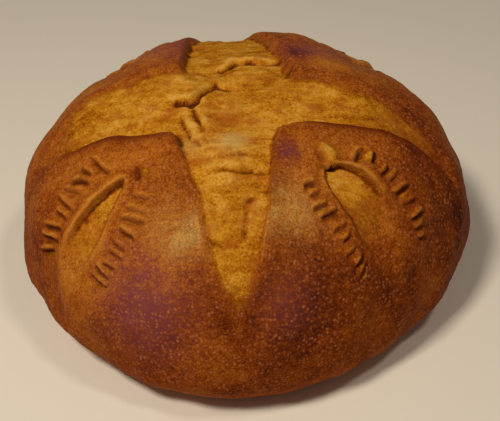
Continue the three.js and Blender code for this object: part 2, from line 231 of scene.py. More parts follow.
@dataclass(frozen=True)
class Dome:
    """The bare loaf before it was scored: a full dome over a tucked-in belly and a flat base."""

    radius: float = 125.0
    height: float = 118.0
    belly: float = 28.0
    base_radius: float = 99.0
    fullness: float = 2.38
    lobes: tuple[Lobe, ...] = (Lobe(2, 0.0077, 65.0), Lobe(3, 0.0143, -14.0), Lobe(4, 0.0188, -1.0))
    swells: tuple[Swell, ...] = (
        Swell(0.7, 47.0, 20.0),
        Swell(0.6, 61.0, 95.0),
        Swell(0.4, 33.0, 150.0),
    )
    hollows: Spots = (
        Spot((-72.0, 67.0), 16.0, 4.5),
        Spot((75.0, 64.0), 13.0, 3.6),
        Spot((-8.0, 72.0), 24.0, 4.0),
    )
    stations: int = 400
    normal_step: float = 0.4

    @cached_property
    def profile(self) -> tuple[Array, Array, Array]:
        """Draws the half profile from the top to the rim of the base.

        Above the belly it is a superellipse, below it a quarter of an ellipse that runs level into
        the base.

        Returns:
            The way along the profile, the radius and the height at each station.
        """
        turn = np.linspace(0.0, math.pi / 2.0, self.stations + 1)
        power = 2.0 / self.fullness
        rise = np.clip(np.cos(turn), 0.0, 1.0) ** power
        dome = self.radius * np.sin(turn) ** power
        dome_height = self.belly + (self.height - self.belly) * rise
        tuck = self.base_radius + (self.radius - self.base_radius) * np.cos(turn[1:])
        tuck_height = self.belly * (1.0 - np.sin(turn[1:]))
        radius = np.concatenate([dome, tuck])
        height = np.concatenate([dome_height, tuck_height])
        way = np.concatenate([[0.0], np.cumsum(np.hypot(np.diff(radius), np.diff(height)))])
        return way, radius, height

    @property
    def chart_radius(self) -> float:
        """Gives the chart's radius, the way from the top down to the rim of the base."""
        return float(self.profile[0][-1])

    def place(self, x: Array, y: Array) -> Array:
        """Puts chart points on the bare dome.

        Args:
            x: Points' X on the chart.
            y: Points' Y on the chart.

        Returns:
            Their places, with X, Y and Z on the last axis.
        """
        way, radius, height = self.profile
        bearing = np.arctan2(y, x)
        down = np.hypot(x, y)
        wide = np.interp(down, way, radius) * (1.0 + sum(lobe.read(bearing) for lobe in self.lobes))
        high = np.interp(down, way, height)
        return np.stack([wide * np.cos(bearing), wide * np.sin(bearing), high], axis=-1)

    def normal(self, x: Array, y: Array) -> Array:
        """Gives the outward normals, the cross product of the slopes along the chart's X and Y.

        Args:
            x: Points' X on the chart.
            y: Points' Y on the chart.

        Returns:
            The normals, with X, Y and Z on the last axis.
        """
        step = self.normal_step
        across = np.cross(
            self.place(x + step, y) - self.place(x - step, y),
            self.place(x, y + step) - self.place(x, y - step),
        )
        return across / np.linalg.norm(across, axis=-1, keepdims=True)

    def swelling(self, x: Array, y: Array) -> Array:
        """Gives the dough's gentle waves, less its hollows."""
        return sum(swell.read(x, y) for swell in self.swells) - read_spots(self.hollows, x, y)


class ArmReading(NamedTuple):
    """What an arm is at a point: way inside, depth, lip, shoulder, softness, fade and bared crumb."""

    inside: Array
    depth: Array
    lip: Array
    shoulder: Array
    soft: Array
    fade: Array
    bared: Array


@dataclass(frozen=True)
class ScoreArm:
    """One arm of the cross.

    Its course comes first. Then come, for its left and right side: the flare at its root, the floor's
    depth, the lip's height, the shoulder over which the crust curls down, and the crumb's soft edge.
    From the bared share of its reach on, the crumb gives way to crust, down to a rest at the tip.
    """

    origin: Pair
    heading: float
    reach: float
    half_width: float
    taper: float
    bend: float
    flare: Pair
    depth: Pair
    lip: Pair
    shoulder: Pair
    soft: Pair
    bared: Pair = (0.6, 0.0)
    bend_power: int = 4
    flare_reach: float = 64.0
    soft_growth: float = 3.0
    soft_power: float = 6.0

    def read(self, x: Array, y: Array, blend: float) -> ArmReading:
        """Reads the arm at chart points.

        The arm is half_width * (1 - share^taper) wide to each side of a line that bends off by
        bend * share^bend_power, where share is the way along its reach, and wider by a side's flare
        at its root, which dies out in a straight line. Behind its origin it ends round.

        Args:
            x: Points' X on the chart.
            y: Points' Y on the chart.
            blend: Least width over which the left side goes over into the right one.

        Returns:
            The arm's reading at each point.
        """
        along, left = in_frame(x, y, self.origin, self.heading)
        share = np.maximum(along, 0.0) / self.reach
        off = left - self.bend * share**self.bend_power
        half = self.half_width * (1.0 - share**self.taper)
        side = 0.5 - 0.5 * np.clip(off / np.maximum(half, blend), -1.0, 1.0)
        half = half + mix(*self.flare, side) * np.maximum(1.0 - np.abs(along) / self.flare_reach, 0.0)
        inside = half - np.where(along > 0.0, np.abs(off), np.hypot(along, off))
        fade = np.sqrt(np.clip(1.0 - share, 0.0, 1.0))
        sides = (self.depth, self.lip, self.shoulder, self.soft)
        depth, lip, shoulder, soft = (mix(*pair, side) for pair in sides)
        soft = soft * (1.0 + self.soft_growth * share**self.soft_power)
        bared = 1.0 - (1.0 - self.bared[1]) * smooth_step(share, self.bared[0], 1.0)
        return ArmReading(inside, fade * depth, fade * lip, shoulder, soft, fade, bared)


class CutReading(NamedTuple):
    """What a cut does at a point.

    Its relief, bared crumb, toasted rim with painted shade, pale ridge of painted highlight, way inside
    and lean of its lip.
    """

    relief: Array
    crumb: Array
    rim: Array
    ridge_highlight: Array
    inside: Array
    lean: Array


@dataclass(frozen=True)
class CrossScore:
    """The cross that was cut into the crust and opened wide as the loaf baked.

    The arms point to the front, the left, the right and the back. A pair of limits is where an edge,
    softness or fade starts to count and where it counts in full.
    """

    arms: tuple[ScoreArm, ...] = (
        ScoreArm(
            origin=(-1.7, -10.0), heading=-91.6, reach=132.0, half_width=19.2, taper=3.5, bend=2.3,
            flare=(2.5, 24.3), depth=(3.6, 3.0), lip=(1.6, 0.6), shoulder=(1.0, 2.5), soft=(1.4, 1.6),
            bared=(0.6, 0.48),
        ),
        ScoreArm(
            origin=(-7.0, -14.0), heading=172.0, reach=114.0, half_width=29.5, taper=3.8, bend=28.0,
            flare=(0.0, 0.0), depth=(7.0, 2.0), lip=(2.2, 0.2), shoulder=(0.5, 6.0), soft=(0.8, 6.0),
        ),
        ScoreArm(
            origin=(-7.0, -16.0), heading=5.0, reach=150.0, half_width=26.4, taper=1.55, bend=-66.0,
            flare=(0.0, 0.0), depth=(2.0, 6.5), lip=(0.2, 2.0), shoulder=(6.0, 0.5), soft=(6.0, 0.8),
            bared=(0.25, 0.0),
        ),
        ScoreArm(
            origin=(0.0, -10.0), heading=96.0, reach=160.0, half_width=31.0, taper=2.4, bend=0.0,
            flare=(0.0, 0.0), depth=(8.0, 8.0), lip=(0.2, 0.2), shoulder=(2.0, 4.0), soft=(1.4, 3.5),
        ),
    )
    wall_run: float = 2.6
    lip_spread: float = 9.0
    corner_round: float = 0.8
    arm_blend: float = 6.0
    crumb_limits: Pair = (-0.6, 1.4)
    rim_place: float = 1.38
    rim_spread: float = 2.3
    rim_soft_limits: Pair = (0.8, 1.8)
    rim_fade_limits: Pair = (0.1, 0.5)
    lean_share: float = 0.16
    lean_spread: float = 5.4

    def join(self, one: Array, other: Array) -> Array:
        """Gives the rounded maximum (a + b + hypot(a - b, corner_round)) / 2 of two ways inside."""
        return (one + other + np.hypot(one - other, self.corner_round)) / 2.0

    def read(self, x: Array, y: Array) -> CutReading:
        """Reads the opened cross at chart points.

        The floor lies below the petals, whose edges are lifted round it. The arms are joined by a
        rounded maximum, and blended by how far inside each of them a point lies. Only a crisp edge
        has a toasted rim.

        Args:
            x: Points' X on the chart.
            y: Points' Y on the chart.

        Returns:
            The cross's reading at each point.
        """
        arms = [arm.read(x, y, self.arm_blend) for arm in self.arms]
        inside = reduce(self.join, (arm.inside for arm in arms))
        weights = np.stack([np.exp((arm.inside - inside) / self.arm_blend) for arm in arms])
        weights /= weights.sum(axis=0)
        depth, lip, shoulder, soft, fade, bared = (
            (weights * np.stack([getattr(arm, name) for arm in arms])).sum(axis=0)
            for name in ("depth", "lip", "shoulder", "soft", "fade", "bared")
        )
        opened = smooth_step(inside, -shoulder, self.wall_run)
        outside = np.minimum(inside, 0.0)
        relief = mix(lip * bell(outside, self.lip_spread), -depth, opened)
        crumb = smooth_step(inside / soft, *self.crumb_limits) * bared
        crisp = 1.0 - smooth_step(soft, *self.rim_soft_limits)
        rim = bell(inside + self.rim_place, self.rim_spread) * crisp
        rim = rim * smooth_step(fade, *self.rim_fade_limits)
        lean = self.lean_share * (depth + lip) * (1.0 - opened) * bell(outside, self.lean_spread)
        return CutReading(relief, crumb, rim, np.zeros_like(rim), inside, lean)


@dataclass(frozen=True)
class Tear:
    """A fold of the opened crumb: a step that is high on the left of its line."""

    start: Pair
    end: Pair
    step: float
    reach: float
    edge: float = 1.2
    end_share: float = 0.5

    def relief(self, x: Array, y: Array) -> Array:
        """Gives the step: a hyperbolic tangent across the line, under a bell curve round it.

        Args:
            x: Points' X on the chart.
            y: Points' Y on the chart.

        Returns:
            The step's relief, half of it above 0 and half below.
        """
        left, past = by_line(x, y, self.start, self.end)
        near = bell(left, self.reach) * bell(past, self.reach * self.end_share)
        return 0.5 * self.step * np.tanh(left / self.edge) * near


@dataclass(frozen=True)
class Crease:
    """A narrow crevice along a line of points, or a small raised flap where its depth is below 0."""

    course: tuple[Pair, ...]
    depth: float
    half_width: float

    def relief(self, x: Array, y: Array) -> Array:
        """Gives the groove, a bell curve of the distance to the nearest stretch of the line."""
        stretches = (np.hypot(*by_line(x, y, *ends)) for ends in zip(self.course, self.course[1:]))
        return -self.depth * bell(reduce(np.minimum, stretches), self.half_width)


@dataclass(frozen=True)
class Snip:
    """One snip of the scissors: its run across the slit, its depth, its flap and what it bares.

    Places are counted from the slit, each to its own side: crumb and toasted rim, with painted shade along
    the drop, lie on the floor's side, flap and pale ridge of painted highlight on the other.
    """

    run: float = 3.4
    least_run: float = 0.3
    depth: float = 2.2
    wall: float = 0.6
    taper: int = 4
    flap: float = 1.6
    flap_place: float = 1.5
    flap_spread: float = 1.8
    bareness: float = 0.62
    crumb_limits: Pair = (0.8, 2.0)
    rim_place: float = 0.4
    ridge_place: float = 1.6
    line_spread: float = 1.2

    def read(self, slit: Array, across: Array, length: float) -> tuple[Array, Array, Array, Array]:
        """Reads the snip, a saw tooth across its slit.

        A flap is lifted on the near side, then comes a sheer drop, and a floor that climbs back to
        the crust. Its ends taper by 1 - (2 slit / length)^taper.

        Args:
            slit: Points' way along the slit from its middle.
            across: Points' way across the slit, to the side of the floor.
            length: The slit's length.

        Returns:
            The snip's relief, bared crumb, toasted rim with painted shade along the drop, and painted
            highlight on the flap.
        """
        taper = np.clip(1.0 - (2.0 * slit / length) ** self.taper, 0.0, 1.0)
        run = self.run * np.sqrt(taper) + self.least_run
        drop = smooth_step(across, -self.wall, self.wall)
        floor = drop * np.clip(1.0 - across / run, 0.0, 1.0)
        flap = (1.0 - drop) * bell(across + self.flap_place, self.flap_spread)
        return (
            taper * (self.flap * flap - self.depth * floor),
            taper * self.bareness * smooth_step(across, *self.crumb_limits) * (floor > 0.0),
            taper * bell(across - self.rim_place, self.line_spread),
            taper * bell(across + self.ridge_place, self.line_spread),
        )


class SnipRow(NamedTuple):
    """A row of snips along one side of an ear.

    It starts so far along the ear and goes on at a pitch. A snip lies so far off the slash's line,
    the first one closer by the gathered share, and is so long. Its lean is its turn from the slash,
    at the first and the last one.
    """

    start: float
    pitch: float
    offset: float
    gather: float
    length: float
    leans: Pair


@dataclass(frozen=True)
class WheatEar:
    """An ear of wheat on a petal: a leaf-shaped slash with a lifted lip, and snips along its sides.

    Its own course and sizes come first. What follows is alike on all ears: the slash's shape, with
    spans counted from the share lip_reach or crumb_reach of its length, then its crumb, toasted rim
    with painted shade under the lip, lean and pale ridge of painted highlight on the lip, with a pair for
    the far and the lifted side or for two limits, and last its snips. A snip strays in lean by degrees,
    in place by pitches, in offset by millimetres, and in length and strength by shares.
    """

    start: Pair
    heading: float
    length: float
    half_widths: Pair
    skew: float
    lip_side: Side
    lip_reach: float
    crumb_reach: float
    seed: int
    rows: tuple[SnipRow, SnipRow]
    bareness: float = 0.8
    leaf_power: float = 0.8
    half_blend: float = 3.0
    slash_depth: float = 2.2
    slash_wall: float = 1.8
    floor_limits: Pair = (0.1, 0.8)
    lip_height: float = 2.0
    lip_blend: float = 2.0
    lip_spread: float = 4.5
    lip_sides: Pair = (0.3, 1.0)
    lift_span: Pair = (-0.25, 0.1)
    end_spread: float = 3.0
    run_out_span: Pair = (-0.1, 0.15)
    wall_growth: float = 5.0
    crumb_span: float = 0.3
    crumb_limits: Pair = (-0.2, 1.4)
    crumb_growth: float = 4.0
    rim_sides: Pair = (0.5, 0.7)
    rim_place: float = 0.2
    rim_spread: float = 0.8
    rim_limits: Pair = (0.2, 0.7)
    lean: float = 0.4
    lean_spread: float = 3.5
    ridge_sides: Pair = (0.4, 1.0)
    ridge_place: float = 1.4
    ridge_spread: float = 2.4
    snip: Snip = Snip()
    snip_count: int = 9
    snip_strength: float = 0.8
    snip_strays: tuple[float, ...] = (12.0, 0.25, 1.5, 0.3, 0.35)
    gather_power: int = 6

    def read(self, x: Array, y: Array) -> CutReading:
        """Reads the ear at chart points.

        To each side of its line the slash is its half width * sin(pi * share^skew)^leaf_power wide,
        with its floor deepest near the start. Past lip_reach the wall under the lip runs out softly.

        Args:
            x: Points' X on the chart.
            y: Points' Y on the chart.

        Returns:
            The ear's reading at each point.
        """
        along, left = in_frame(x, y, self.start, self.heading)
        share = np.clip(along / self.length, 0.0, 1.0)
        past = past_ends(along, self.length)
        leaf = np.clip(np.sin(math.pi * share**self.skew), 0.0, 1.0) ** self.leaf_power
        on_left = smooth_step(left, -self.half_blend, self.half_blend)
        inside = mix(self.half_widths[1], self.half_widths[0], on_left) * leaf - np.abs(left) - past
        outside = np.minimum(inside, 0.0)
        on_lip = smooth_step(left * self.lip_side.value, -self.lip_blend, self.lip_blend)
        from_lip, ends = share - self.lip_reach, bell(past, self.end_spread)

        # The slash's floor and lip
        run_out = on_lip * smooth_step(from_lip, *self.run_out_span)
        opened = smooth_step(inside, 0.0, self.slash_wall * (1.0 + self.wall_growth * run_out))
        crust = 1.0 - opened
        lifted = (1.0 - smooth_step(from_lip, *self.lift_span)) * ends
        lip_share = mix(*self.lip_sides, on_lip) * lifted
        lip = self.lip_height * lip_share * bell(outside, self.lip_spread)
        floor = self.slash_depth * (1.0 - smooth_step(share, *self.floor_limits))
        lean = self.lean * lip_share * crust * bell(outside, self.lean_spread)

        # What it bares and toasts, with painted shade under the lip and a painted highlight on the lip's
        # ridge
        bared = 1.0 - smooth_step(share - self.crumb_reach, -self.crumb_span, self.crumb_span)
        low, high = self.crumb_limits
        crumb = smooth_step(inside, low, high * (1.0 + self.crumb_growth * run_out)) * bared
        rim = mix(*self.rim_sides, on_lip) * bell(inside - self.rim_place, self.rim_spread)
        rim = rim * (1.0 - smooth_step(share, *self.rim_limits)) * ends * (1.0 - run_out)
        ridge_highlight = mix(*self.ridge_sides, on_lip) * lifted * crust
        ridge_highlight = ridge_highlight * bell(outside + self.ridge_place, self.ridge_spread)

        snips = self.snips(along, left)
        return CutReading(
            mix(lip, -floor, opened) + snips[0],
            np.maximum(self.bareness * crumb, snips[1]),
            np.maximum(rim, snips[2]),
            np.maximum(ridge_highlight, snips[3]),
            inside,
            lean,
        )

    def snips(self, along: Array, left: Array) -> tuple[Array, Array, Array, Array]:
        """Reads the snips along both sides of the slash, the first ones gathered towards its line.

        Args:
            along: Points' way along the ear.
            left: Points' way to the left of the ear.

        Returns:
            The snips' relief, bared crumb, toasted rims with painted shade along the drops, and painted
            highlight on the flaps.
        """
        relief, crumb, rim, ridge_highlight = (np.zeros_like(along) for _ in range(4))
        for column, (side, row) in enumerate(zip(Side, self.rows)):
            for k in range(self.snip_count):
                step = k / (self.snip_count - 1)
                number = self.snip_count * (len(self.rows) * self.seed + column) + k
                turned, moved, shifted, stretched, stressed = (
                    size * wander(len(self.snip_strays) * number + trait)
                    for trait, size in enumerate(self.snip_strays)
                )
                offset = row.offset * (1.0 - row.gather * (1.0 - step) ** self.gather_power)
                middle = (row.start + row.pitch * (k + moved), side.value * (offset + shifted))
                heading = side.value * (mix(*row.leans, step) + turned)
                slit, across = in_frame(along, left, middle, heading)
                length = row.length * (1.0 + stretched)
                strength = self.snip_strength + stressed
                marks = [strength * mark for mark in self.snip.read(slit, -side.value * across, length)]
                relief += marks[0]
                crumb, rim, ridge_highlight = map(np.maximum, (crumb, rim, ridge_highlight), marks[1:])
        return relief, crumb, rim, ridge_highlight


@dataclass(frozen=True)
class CrustGrid:
    """The square grid that is laid over the round chart, fine on the dome and coarse on the tuck."""

    cells: int = 312
    fine_share: float = 0.88
    fine_reach: float = 152.0
    front_favour: float = 0.3

    def points(self, chart_radius: float) -> tuple[Array, Array]:
        """Maps the square onto the chart.

        Each square ring of the grid becomes a circle. Along a ring the bearing grows evenly, less
        front_favour times its cosine, which brings points together at the front. From ring to ring
        the radius grows evenly at first and then by a square law.

        Args:
            chart_radius: Radius of the outermost circle.

        Returns:
            The grid points' X and Y on the chart.
        """
        line = np.linspace(-1.0, 1.0, self.cells + 1)
        p, q = np.meshgrid(line, line, indexing="xy")
        wide = np.abs(p) >= np.abs(q)
        ring = np.where(wide, p, q)
        safe = np.where(ring == 0.0, 1.0, ring)
        turn = np.where(wide, 0.25 * math.pi * q / safe, 0.5 * math.pi - 0.25 * math.pi * p / safe)
        turn = turn + np.where(ring < 0.0, math.pi, 0.0)
        turn = turn - self.front_favour * np.cos(turn)
        even = self.fine_reach / self.fine_share
        law = (chart_radius - even) / (1.0 - self.fine_share) ** 2
        size = np.abs(ring)
        radius = even * size + law * np.maximum(size - self.fine_share, 0.0) ** 2
        return radius * np.cos(turn), radius * np.sin(turn)

    @property
    def numbers(self) -> Array:
        """Gives the points' numbers, as a square."""
        return np.arange((self.cells + 1) ** 2).reshape(self.cells + 1, -1)

    def quads(self) -> Array:
        """Gives the cells as rows of four point numbers, anticlockwise from above."""
        n = self.numbers
        return np.stack([n[:-1, :-1], n[:-1, 1:], n[1:, 1:], n[1:, :-1]], axis=-1).reshape(-1, 4)

    def rim(self) -> Array:
        """Gives the numbers of the points on the border, anticlockwise from above."""
        n = self.numbers
        return np.concatenate([n[0, :-1], n[:-1, -1], n[-1, :0:-1], n[:0:-1, 0]])


def to_linear(colour: str) -> tuple[float, ...]:
    """Turns an sRGB hex colour into linear red, green and blue, with full alpha."""
    parts = (int(colour[k : k + 2], 16) / 255.0 for k in (1, 3, 5))
    return *(p / 12.92 if p <= 0.04045 else ((p + 0.055) / 1.055) ** 2.4 for p in parts), 1.0


class Kind(Enum):
    """A kind of material node, by its type name."""

    COORDINATES = "ShaderNodeTexCoord"
    ATTRIBUTE = "ShaderNodeAttribute"
    MAPPING = "ShaderNodeMapping"
    NOISE = "ShaderNodeTexNoise"
    CELLS = "ShaderNodeTexVoronoi"
    SPLIT = "ShaderNodeSeparateColor"
    RANGE = "ShaderNodeMapRange"
    MATH = "ShaderNodeMath"
    MIX = "ShaderNodeMix"
    RAMP = "ShaderNodeValToRGB"
    BUMP = "ShaderNodeBump"
    SHADER = "ShaderNodeBsdfPrincipled"


def add_node(
    tree: bpy.types.NodeTree,
    kind: Kind,
    inputs: dict[Any, Any] | tuple[Any, ...],
    out: int | str = 0,
    stops: Stops = (),
    **settings: Any,
) -> bpy.types.NodeSocket:
    """Adds a node to a tree.

    Args:
        tree: The tree.
        kind: The node's kind.
        inputs: What goes into its first sockets, or into sockets by name or number. Another node's
            output is linked, and anything else is set as the socket's value.
        out: Name or number of the output that is wanted.
        stops: Places along a colour ramp with their sRGB hex colours.
        **settings: Properties of the node.

    Returns:
        The wanted output.
    """
    node = tree.nodes.new(kind.value)
    for name, value in settings.items():
        setattr(node, name, value)
    sockets = inputs if isinstance(inputs, dict) else dict(enumerate(inputs))
    for name, value in sockets.items():
        if isinstance(value, bpy.types.NodeSocket):
            tree.links.new(value, node.inputs[name])
        else:
            node.inputs[name].default_value = value
    if stops:
        elements = node.color_ramp.elements
        while len(elements) < len(stops):
            elements.new(0.5)
        for element, (place, colour) in zip(elements, stops):
            element.position = place
            element.color = to_linear(colour)
    return node.outputs[out]


def per_metre(size_mm: float) -> float:
    """Turns a pattern's real size into a texture scale on coordinates in metres."""
    return 1.0 / (size_mm * MM)


class Pattern(NamedTuple):
    """A cloudy pattern: its name, the real size of its patches, its detail and any stretch."""

    name: str
    size_mm: float
    detail: float = 2.0
    stretch: Triple | None = None


class Blend(NamedTuple):
    """A weighted sum of patterns and marks: its name, what it starts at and each one's weight."""

    name: str
    start: float
    weights: tuple[tuple[str, float], ...]


@dataclass(frozen=True)
class BakedCrust:
    """Wheat crust baked on a hearth: browned by sugars, finely blistered, with a dull sheen.

    The cuts bare the crumb, which dried golden. Browning makes the crust uneven in tone, and tiny
    blisters and bran flecks speckle it. Limits say which two values become which two others.
    """

    # The loaf's point attributes
    marks: tuple[str, ...] = ("crumb", "rim", "browning_and_shading", "cavity_shade", "tint", "gilt", "mauve", "gloss")

    # Colours, from golden to nearly burnt and from deep to light gold, and those laid over them
    browns: Stops = (
        (0.0, "#CC8630"),
        (0.3, "#B0661A"),
        (0.55, "#8E430E"),
        (0.78, "#682A0C"),
        (1.0, "#3C160A"),
    )
    golds: Stops = ((0.0, "#763806"), (0.3, "#A8640E"), (0.6, "#C68620"), (1.0, "#DCA548"))
    fleck: str = "#C27448"
    # Mauve: partly the crust's own purplish tone, partly a painted reflection
    mauve: str = "#864450"
    # Toasted rims, with painted shade under the ears' lips, along the snips' drops and in the crumb's pores
    toast_and_shade: str = "#601E0C"
    # Painted shade in hollows and pits
    hollow_shade: str = "#4A1C08"
    # Pale: painted highlight on the crumb
    pale: str = "#CCAC68"
    reddened: str = "#A4501A"
    sheen: str = "#EAFFA0"

    # Patterns and how they add up to the tones and the fine relief of crust and crumb
    patterns: tuple[Pattern, ...] = (
        Pattern("blotch", 13.0),
        Pattern("mottle", 3.2, 3.0),
        Pattern("grain", 0.9),
        Pattern("drift", 9.0),
        Pattern("strand", 5.0, 4.0, (0.4, 1.0, 1.0)),
        Pattern("crumble", 1.4),
        Pattern("patch", 17.0),
        Pattern("flush", 8.0, 3.0),
    )
    blends: tuple[Blend, ...] = (
        Blend("tone", -0.82, (("browning_and_shading", 1.0), ("blotch", 0.4), ("mottle", 0.42), ("grain", 0.9))),
        # Gold: darker in hollows and lighter on crowns by the cavity mark, painted shade and painted light
        Blend("gold", -1.94, (
            ("strand", 1.0), ("crumble", 0.9), ("grain", 0.9), ("patch", 0.8),
            ("cavity_shade", -0.6), ("crumb", 0.7), ("gilt", 1.0),
        )),
        Blend("blisters", 0.0, (("grain", 1.0), ("mottle", 0.3), ("flecks", 0.5))),
        Blend("crags", 0.0, (("strand", 1.0), ("grain", 0.8), ("crumble", 1.0), ("pores", -3.0))),
    )

    # Dots and pores: size, shape and how many
    fleck_mm: float = 1.9
    fleck_limits: Limits = (0.14, 0.52, 1.0, 0.0)
    dense_limits: Limits = (0.35, 0.65, 0.5, 1.1)
    fleck_strength: float = 0.8
    pore_mm: float = 3.4
    pore_limits: Limits = (0.05, 0.24, 0.45, 0.0)
    pore_share: float = 0.2

    # How strongly colours are laid over others
    haze_limits: Limits = (0.75, 1.25, 0.2, 1.0)
    pale_limits: Limits = (0.0, 1.0, 0.0, 0.6)
    red_limits: Limits = (0.0, -1.0, 0.0, 0.75)
    flush_limits: Limits = (0.5, 0.68, 0.0, 0.55)
    raggedness: float = 5.0
    bared_limits: Limits = (0.25, 0.75, 0.0, 1.0)
    rim_strength: float = 0.85
    deep_limits: Limits = (0.3, 1.0, 0.0, 0.75)

    # Relief and sheen
    bump_mm: float = 0.6
    bump_limits: Limits = (0.0, 1.0, 0.28, 0.55)
    shine_limits: Limits = (0.0, 2.0, 0.02, 1.0)
    damp_limits: Limits = (0.0, 1.0, 1.0, 0.2)
    crust_roughness: float = 0.4
    crumb_roughness: float = 0.6
    ior: float = 1.45

    def material(self) -> bpy.types.Material:
        """Makes the material.

        Returns:
            The material, which reads Object coordinates and the loaf's own point attributes.
        """
        made = bpy.data.materials.new("hearth_baked_crust")
        made.use_nodes = True
        tree = made.node_tree
        tree.nodes.remove(tree.nodes["Principled BSDF"])
        add = partial(add_node, tree)
        place = add(Kind.COORDINATES, (), "Object")
        known = {name: add(Kind.ATTRIBUTE, (), "Fac", attribute_name=name) for name in self.marks}
        for name, size, detail, stretch in self.patterns:
            where = add(Kind.MAPPING, {"Vector": place, "Scale": stretch}) if stretch else place
            known[name] = add(Kind.NOISE, {"Vector": where, "Scale": per_metre(size), "Detail": detail})

        # Pale dots: tiny blisters, thicker in some places than in others
        fleck = add(Kind.CELLS, {"Vector": place, "Scale": per_metre(self.fleck_mm)}, "Distance")
        lot = add(Kind.SPLIT, (fleck.node.outputs["Color"],))
        fleck = add(Kind.RANGE, (fleck, *self.fleck_limits))
        fleck = add(Kind.MATH, (fleck, lot), operation="MULTIPLY")
        dense = add(Kind.RANGE, (known["drift"], *self.dense_limits))
        known["flecks"] = add(Kind.MATH, (fleck, dense), operation="MULTIPLY")
        # Dark dots: a few small pores of the crumb, darkened by painted shade
        pore = add(Kind.CELLS, {"Vector": place, "Scale": per_metre(self.pore_mm)}, "Distance")
        lot = add(Kind.SPLIT, (pore.node.outputs["Color"],))
        kept = add(Kind.MATH, (lot, self.pore_share), operation="LESS_THAN")
        pore = add(Kind.RANGE, (pore, *self.pore_limits))
        known["pores"] = add(Kind.MATH, (pore, kept), operation="MULTIPLY")
        # Uneven tones and fine relief
        for blend in self.blends:
            known[blend.name] = blend.start
            for source, weight in blend.weights:
                parts = (known[source], weight, known[blend.name])
                known[blend.name] = add(Kind.MATH, parts, operation="MULTIPLY_ADD")

        # Browned crust, dulled to mauve in some places, partly its own tone and partly a painted
        # reflection, and dotted
        coarse = add(Kind.MATH, (known["mottle"], known["grain"]), operation="ADD")
        mauve_tone_and_reflection = add(Kind.RANGE, (coarse, *self.haze_limits))
        mauve_tone_and_reflection = add(Kind.MATH, (mauve_tone_and_reflection, known["mauve"]), operation="MULTIPLY")
        light = add(Kind.MATH, (known["flecks"], self.fleck_strength), operation="MULTIPLY")
        crust = add(Kind.RAMP, (known["tone"],), "Color", self.browns)
        for share, colour in ((mauve_tone_and_reflection, self.mauve), (light, self.fleck)):
            crust = add(Kind.MIX, {0: share, 6: crust, 7: to_linear(colour)}, 2, data_type="RGBA")

        # Golden crumb, drawn out into strands, with paler patches of painted highlight, redder patches, and
        # small pores darkened by painted shade
        pale_highlight = add(Kind.RANGE, (known["tint"], *self.pale_limits))
        redder = add(Kind.RANGE, (known["tint"], *self.red_limits))
        flush = add(Kind.RANGE, (known["flush"], *self.flush_limits))
        redder = add(Kind.MATH, (redder, flush), operation="MAXIMUM")
        crumb = add(Kind.RAMP, (known["gold"],), "Color", self.golds)
        layers = ((pale_highlight, self.pale), (redder, self.reddened), (known["pores"], self.toast_and_shade))
        for share, colour in layers:
            crumb = add(Kind.MIX, {0: share, 6: crumb, 7: to_linear(colour)}, 2, data_type="RGBA")

        # Crust over crumb with a ragged edge, toasted along the rims of the cuts with painted shade under
        # the ears' lips and along the snips, and painted shade in the hollows
        edge = add(Kind.MATH, (1.0, known["crumb"]), operation="SUBTRACT")
        edge = add(Kind.MATH, (edge, known["crumb"]), operation="MULTIPLY")
        ragged = add(Kind.MATH, (coarse, self.raggedness, -self.raggedness), operation="MULTIPLY_ADD")
        bared = add(Kind.MATH, (ragged, edge, known["crumb"]), operation="MULTIPLY_ADD")
        bared = add(Kind.RANGE, (bared, *self.bared_limits))
        rim = add(Kind.MATH, (known["rim"], self.rim_strength), operation="MULTIPLY")
        # Painted shade in the hollows and pits
        deep = add(Kind.RANGE, (known["cavity_shade"], *self.deep_limits))
        surface = add(Kind.MIX, {0: bared, 6: crust, 7: crumb}, 2, data_type="RGBA")
        for share, colour in ((rim, self.toast_and_shade), (deep, self.hollow_shade)):
            surface = add(Kind.MIX, {0: share, 6: surface, 7: to_linear(colour)}, 2, data_type="RGBA")

        # Fine relief: blisters on the crust, crags in the crumb
        relief = add(Kind.MIX, {0: bared, 2: known["blisters"], 3: known["crags"]})
        rugged = add(Kind.RANGE, (bared, *self.bump_limits))
        bump = add(Kind.BUMP, {"Strength": rugged, "Distance": self.bump_mm * MM, "Height": relief})

        # Dull sheen on the crust, hardly any on the crumb
        shine = add(Kind.RANGE, (known["gloss"], *self.shine_limits))
        damped = add(Kind.RANGE, (bared, *self.damp_limits))
        shine = add(Kind.MATH, (shine, damped), operation="MULTIPLY")
        rough = add(Kind.RANGE, (known["gloss"], 0.0, 1.0, self.crumb_roughness, self.crust_roughness))
        rough = add(Kind.MIX, {0: bared, 2: rough, 3: self.crumb_roughness})
        shader = add(
            Kind.SHADER,
            {
                "Base Color": surface,
                "Roughness": rough,
                "IOR": self.ior,
                "Specular IOR Level": shine,
                "Specular Tint": to_linear(self.sheen),
                "Normal": bump,
            },
        )
        tree.links.new(shader, tree.nodes["Material Output"].inputs["Surface"])
        return made


BACK_ROW = SnipRow(8.0, 6.4, 23.0, 0.35, 12.0, (115.0, 80.0))


